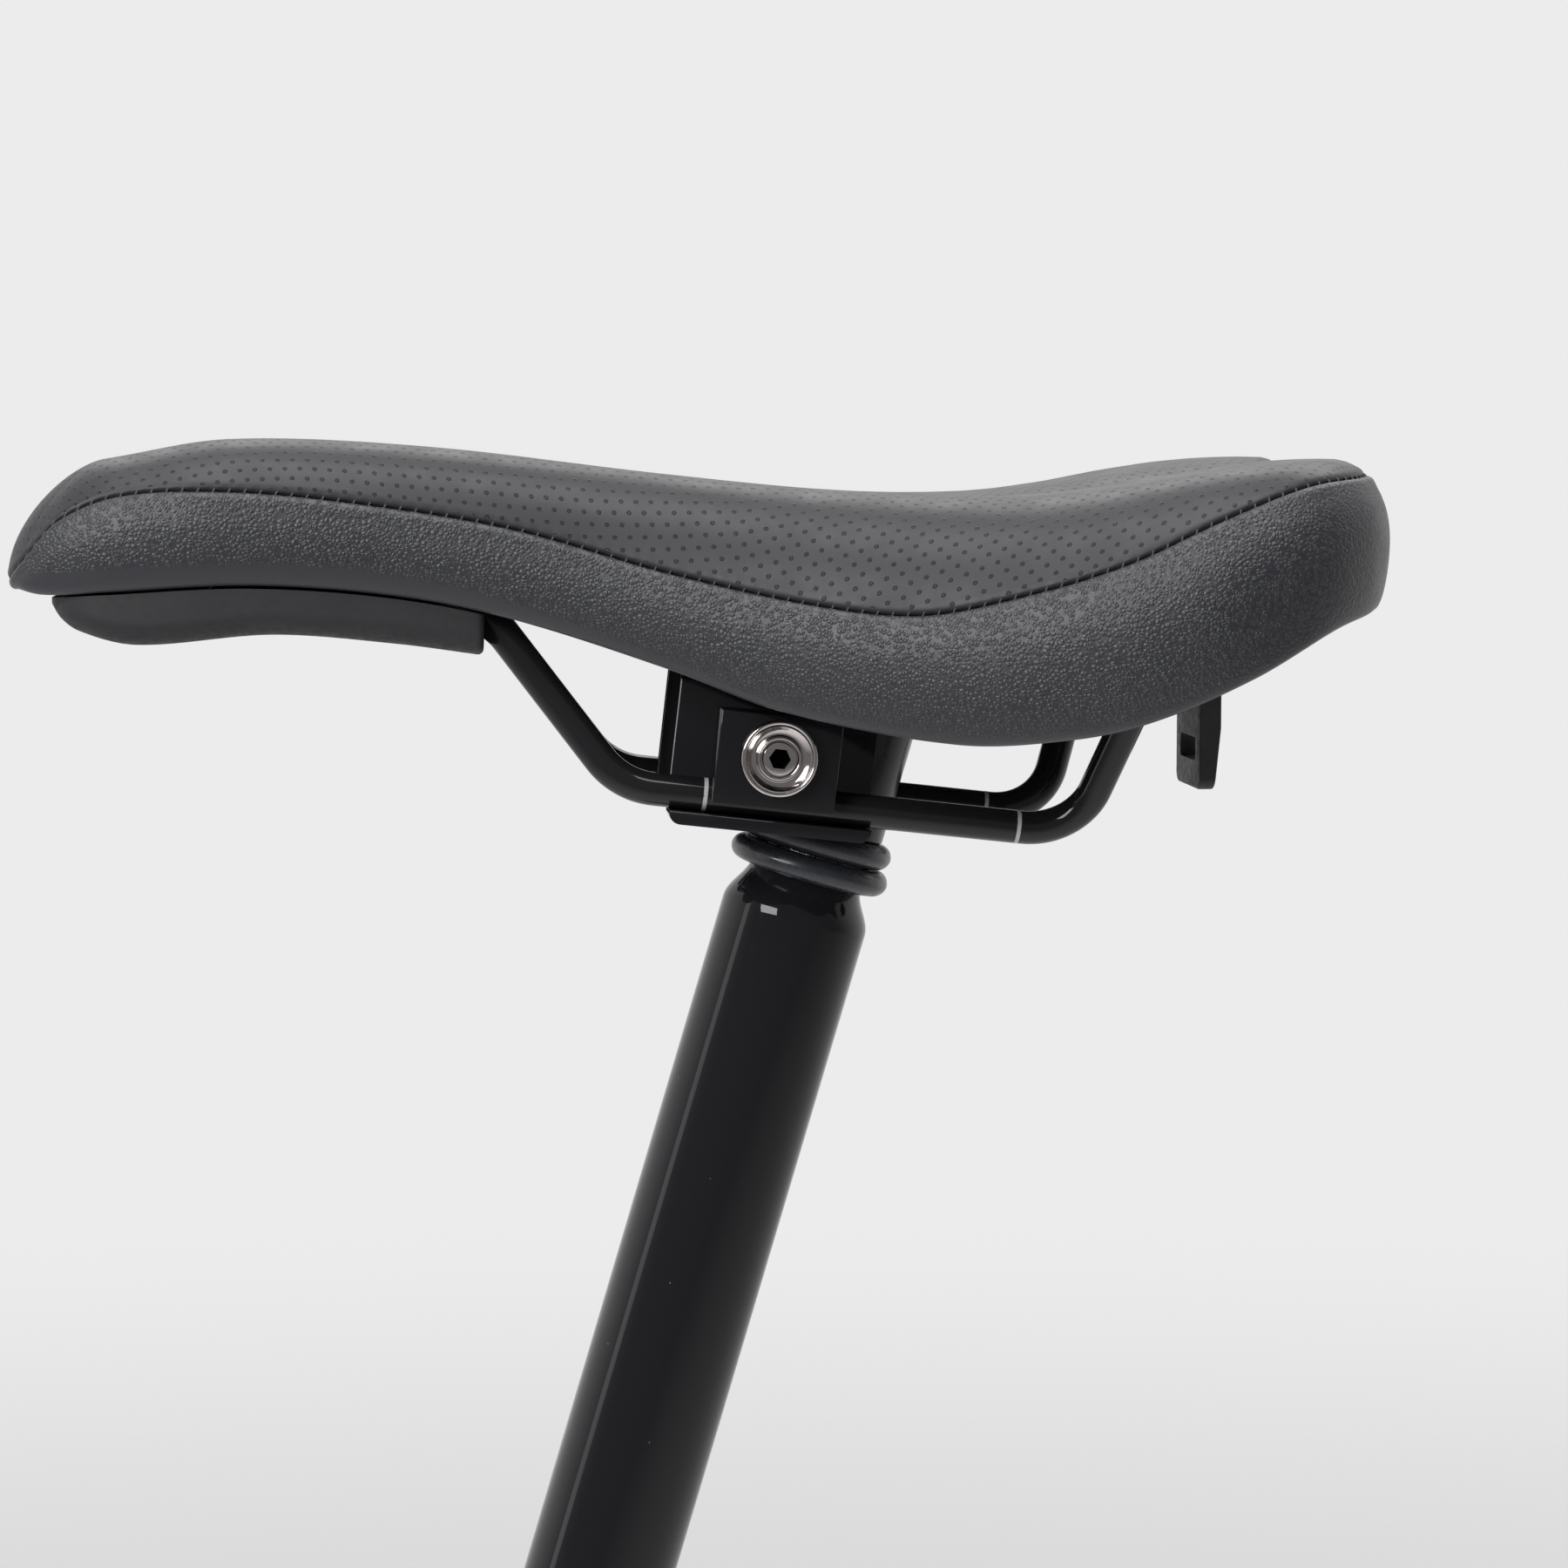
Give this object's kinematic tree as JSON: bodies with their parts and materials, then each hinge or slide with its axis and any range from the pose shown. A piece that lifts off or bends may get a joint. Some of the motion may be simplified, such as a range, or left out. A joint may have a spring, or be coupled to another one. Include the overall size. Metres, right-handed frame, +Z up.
{
  "type": "suspension seatpost",
  "caption": "Telescoping bicycle suspension seatpost with rubber bump rings, a tilting cross-bolt rail clamp and a padded perforated saddle on steel rails.",
  "frame": {"origin": "centre of the outer tube's open bottom end, on the post's axis", "axes": "+Z up, the post leans back towards +X as in a bicycle frame, the saddle's nose points along -X, left side is -Y"},
  "size_m": [0.2835, 0.156, 0.4103],
  "materials": {
    "gloss_black_metal": "gloss black paint on aluminium",
    "rail_black": "gloss black paint on steel bar",
    "steel": "bright machined steel",
    "spring_steel": "oiled spring steel",
    "chrome": "polished chrome plate",
    "rubber": "moulded black rubber",
    "bushing_polymer": "off-white bearing polymer",
    "matt_plastic": "moulded black nylon",
    "perforated_leather": "black perforated synthetic leather",
    "grained_leather": "black grained synthetic leather",
    "foam": "dark closed-cell foam"
  },
  "bodies": {
    "post": {"outer_tube": "gloss_black_metal", "upper_guide_bushing": "bushing_polymer", "anti_rotation_key": "steel", "bump_ring_lower": "rubber", "main_spring": "spring_steel", "elastomer_core": "rubber"},
    "shaft": {"inner_shaft": "steel", "lower_guide_bushing": "bushing_polymer", "top_out_bumper": "rubber", "shaft_foot": "bushing_polymer", "shaft_top_cap": "bushing_polymer", "clamp_collar": "gloss_black_metal", "bump_ring_upper": "rubber"},
    "preload_seat": {"spring_seat": "steel"},
    "preload_plug": {"preload_plug": "matt_plastic"},
    "rail_clamp": {"rail_cradle": "gloss_black_metal", "outer_jaw_left": "gloss_black_metal", "outer_jaw_right": "gloss_black_metal", "clamp_bolt": "chrome", "clamp_end_screw": "chrome", "cup_washer_left": "chrome", "cup_washer_right": "chrome"},
    "saddle": {"saddle_shell": "matt_plastic", "foam_pad": "foam", "top_cover": "perforated_leather", "side_cover_left": "grained_leather", "side_cover_right": "grained_leather", "rail_left": "rail_black", "rail_right": "rail_black", "nose_rail_socket": "matt_plastic", "rear_socket_left": "matt_plastic", "rear_socket_right": "matt_plastic", "nose_grip": "matt_plastic", "rear_bracket": "matt_plastic", "bracket_screw_left": "steel", "bracket_screw_right": "steel"}
  },
  "joints": [
    {"name": "suspension_travel", "type": "slide", "parent": "post", "child": "shaft", "axis": [0.285, 0, 0.9585], "range_m": [-0.005, 0], "stiffness_N_per_m": 20000, "springref_m": 0.003, "deforming": ["bump_ring_lower", "bump_ring_upper", "main_spring", "elastomer_core"]},
    {"name": "preload_turn", "type": "hinge", "parent": "preload_seat", "child": "preload_plug", "pos_m": [0, 0, 0], "axis": [0.285, 0, 0.9585], "range_deg": [-720, 0]},
    {"name": "preload_travel", "type": "slide", "parent": "post", "child": "preload_seat", "axis": [0.285, 0, 0.9585], "range_m": [-0.003, 0]},
    {"name": "saddle_tilt", "type": "hinge", "parent": "shaft", "child": "rail_clamp", "pos_m": [0.08394, 0, 0.34019], "axis": [0, 1, 0], "range_deg": [-12, 10]},
    {"name": "saddle_setback", "type": "slide", "parent": "rail_clamp", "child": "saddle", "axis": [0.9936, 0, -0.1132], "range_m": [-0.03, 0]}
  ],
  "couplings": [
    {"joint": "preload_turn", "follows": "preload_travel", "rad_per_m": 4188.8}
  ]
}
